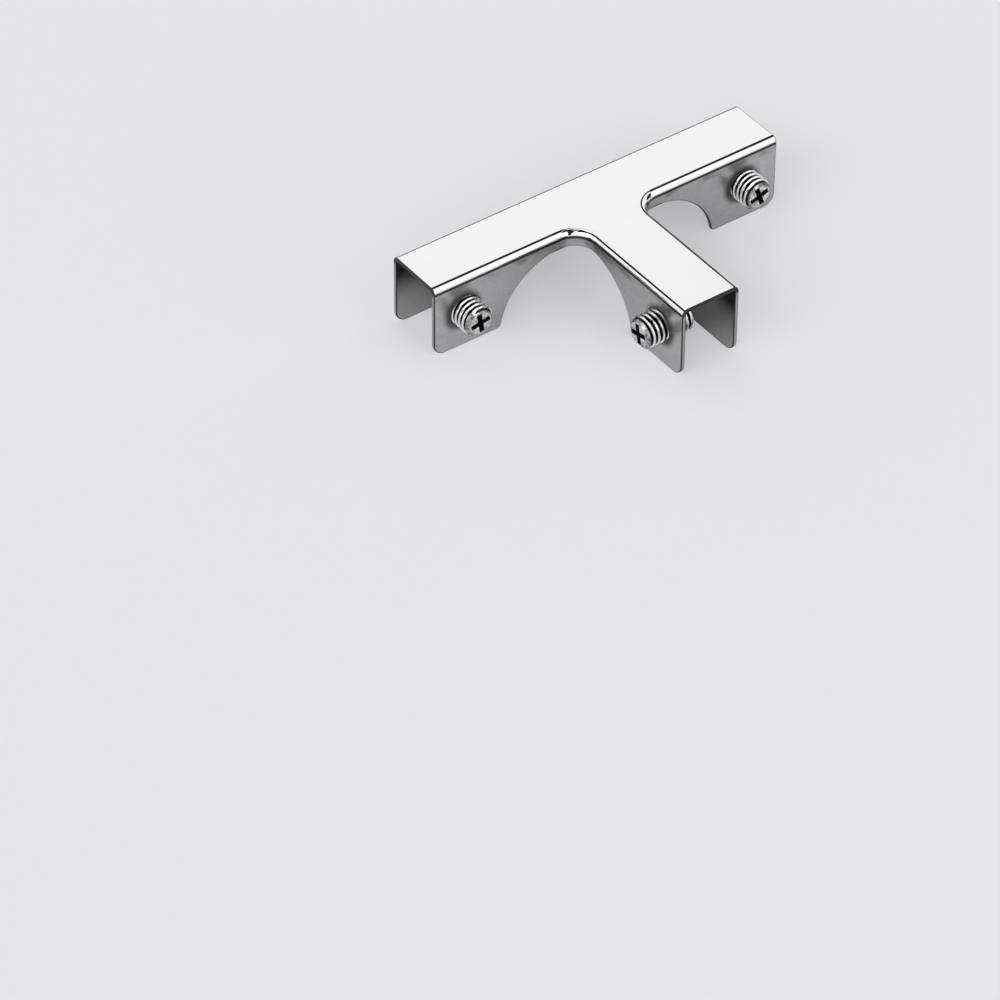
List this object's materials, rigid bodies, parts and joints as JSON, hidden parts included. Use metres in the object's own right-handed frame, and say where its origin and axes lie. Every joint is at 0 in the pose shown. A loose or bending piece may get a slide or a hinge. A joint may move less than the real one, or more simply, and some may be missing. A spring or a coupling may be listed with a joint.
{
  "type": "glass corner clip",
  "caption": "T-shaped folded sheet channel that slips over the corner of meeting panes and clamps them with set screws through its ears.",
  "frame": {"origin": "on the underside of the web, where pane edges seat, at the crossing of the centre planes of the bar and of the stem", "axes": "+X along the bar of the T, -Y along the stem away from the bar, +Z out of the web's outer face; the channel opens to -Z"},
  "size_m": [0.0734, 0.0408, 0.0144],
  "materials": {
    "folded_sheet": "fine brushed on the web, satin on the flanges",
    "screw_steel": "bright plated"
  },
  "bodies": {
    "clip_body": {"clip_body": "folded_sheet"},
    "set_screw_bar_left": {"set_screw_bar_left": "screw_steel"},
    "set_screw_bar_right": {"set_screw_bar_right": "screw_steel"},
    "set_screw_stem": {"set_screw_stem": "screw_steel"}
  },
  "joints": [
    {"name": "bar_left_screw_travel", "type": "slide", "parent": "clip_body", "child": "set_screw_bar_left", "axis": [0, 1, 0], "range_m": [-0.0045, 0.0035]},
    {"name": "bar_right_screw_travel", "type": "slide", "parent": "clip_body", "child": "set_screw_bar_right", "axis": [0, 1, 0], "range_m": [-0.0045, 0.0035]},
    {"name": "stem_screw_travel", "type": "slide", "parent": "clip_body", "child": "set_screw_stem", "axis": [1, 0, 0], "range_m": [-0.0045, 0.0035]}
  ]
}
